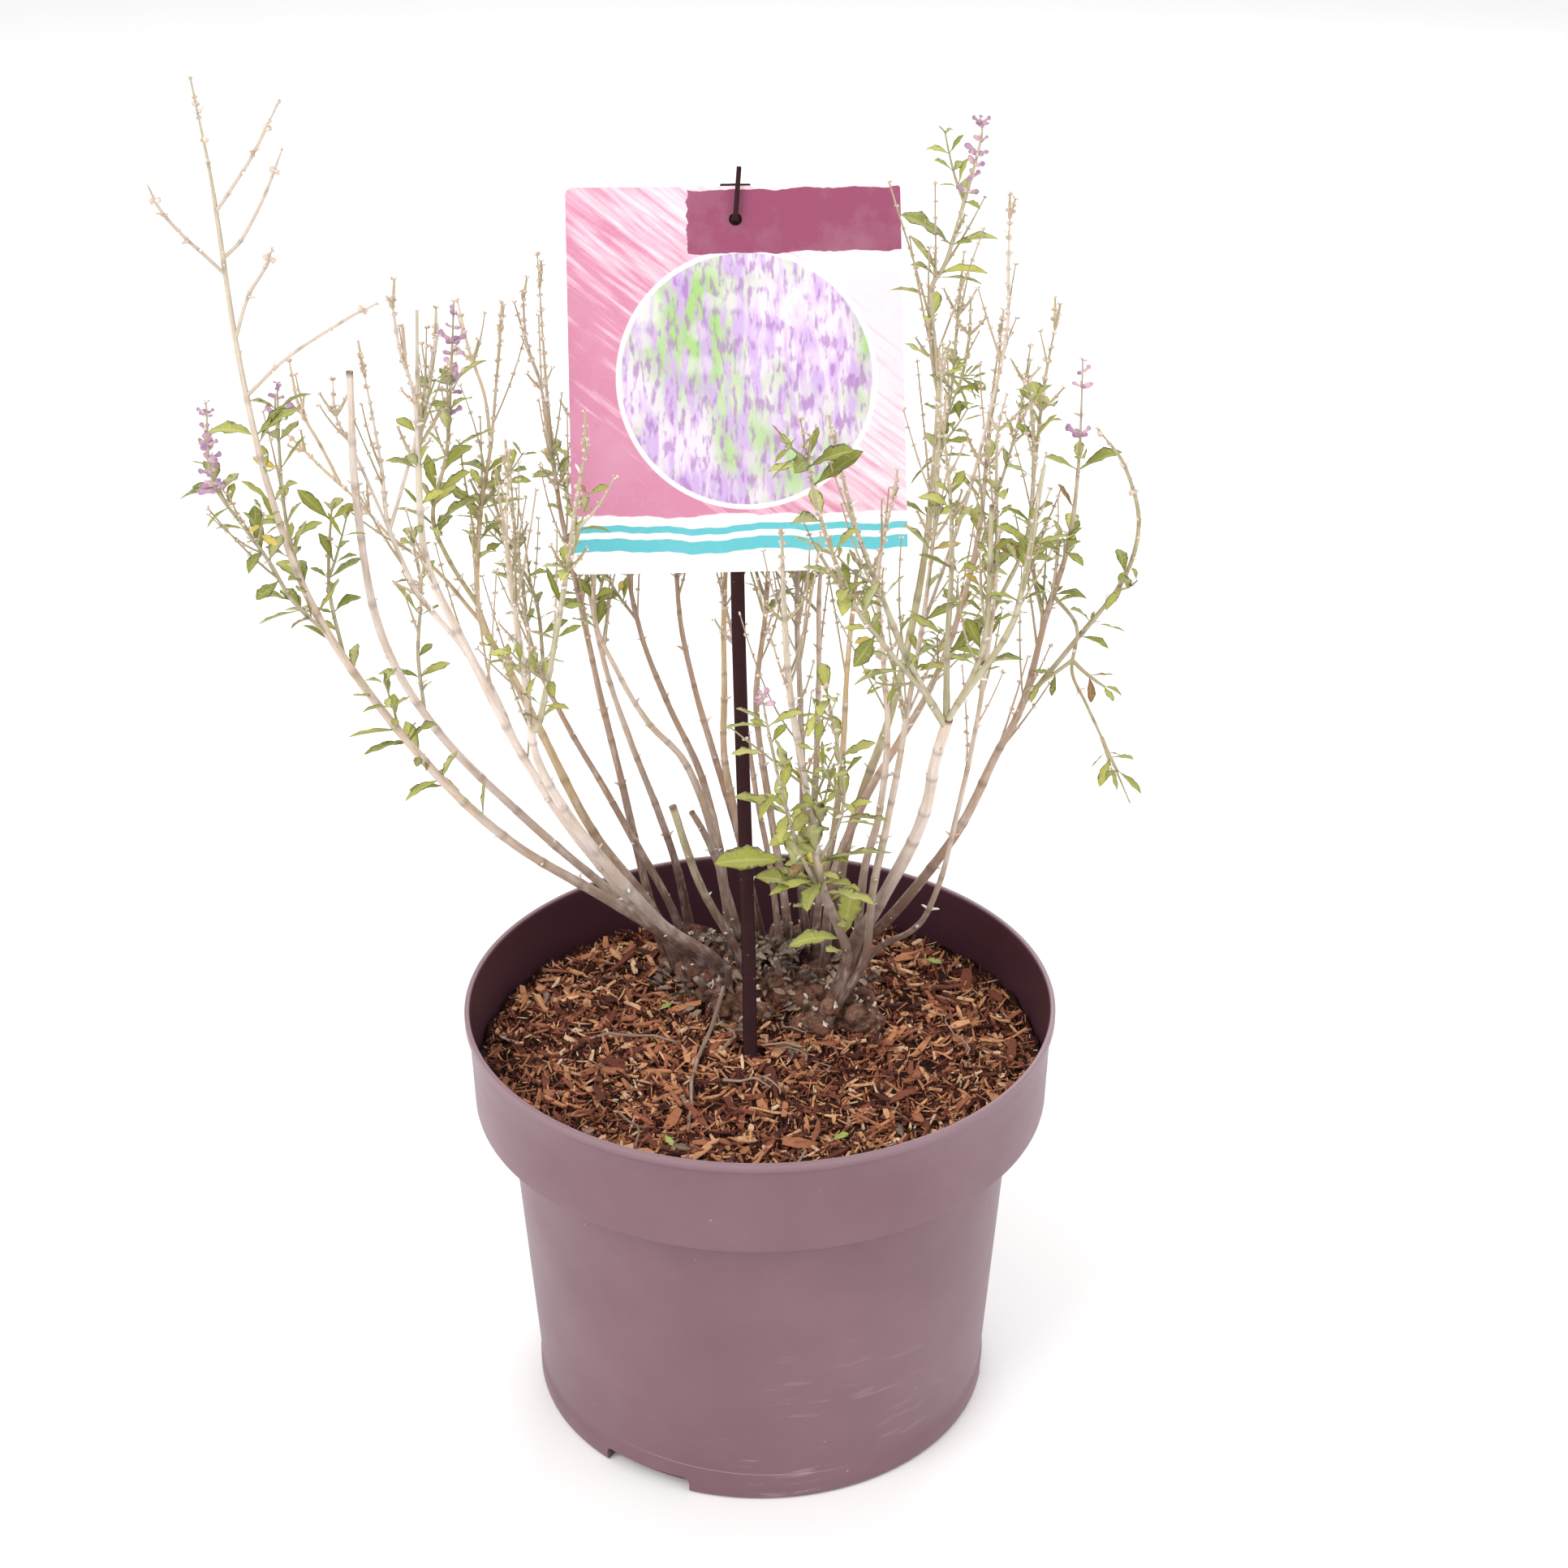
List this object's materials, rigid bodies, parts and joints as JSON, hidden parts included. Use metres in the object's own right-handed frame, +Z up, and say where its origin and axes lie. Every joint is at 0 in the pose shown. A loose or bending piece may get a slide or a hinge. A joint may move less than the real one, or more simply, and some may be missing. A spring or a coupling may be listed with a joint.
{
  "type": "potted sage plant",
  "caption": "Twiggy woody sage with toothed leaves and lavender florets, standing in bark mulch in a round nursery pot, with a blank picture label hooked on a leaning stake.",
  "frame": {"origin": "middle of the pot's flat base", "axes": "+Z up, -Y towards the front, which the label faces, +X to the right of it"},
  "size_m": [0.3387, 0.2914, 0.5291],
  "materials": {
    "pot": "satin moulded dull plum plastic",
    "mulch": "loose shredded bark",
    "crown": "rough old bark",
    "stake": "smooth moulded",
    "card": "printed plastic sheet",
    "bark": "thin dry bark",
    "leaf": "soft downy leaf",
    "flower": "downy petal and calyx"
  },
  "bodies": {
    "root": {"pot": "pot", "mulch": "mulch", "crown": "crown", "label_stake": "stake", "label_card": "card", "stem_far_left": "bark", "stem_left_cut": "bark", "stem_left_twiggy": "bark", "stem_left_forked": "bark", "stem_left_brown": "bark", "stem_left_back": "bark", "stem_card_left": "bark", "stem_back_left": "bark", "stem_back_middle_left": "bark", "stem_middle_left": "bark", "stem_back_middle": "bark", "stem_behind_card": "bark", "stem_behind_stake": "bark", "stem_middle": "bark", "stem_middle_right": "bark", "stem_back_right": "bark", "stem_right_yellow": "bark", "stem_tall_right": "bark", "stem_right_long": "bark", "stem_right_pale": "bark", "stem_right_upright": "bark", "stem_right_forked": "bark", "stem_right_outer": "bark", "stem_right_thin": "bark", "stem_front_leafy": "bark", "stub_left": "bark", "stub_middle": "bark"}
  },
  "joints": []
}
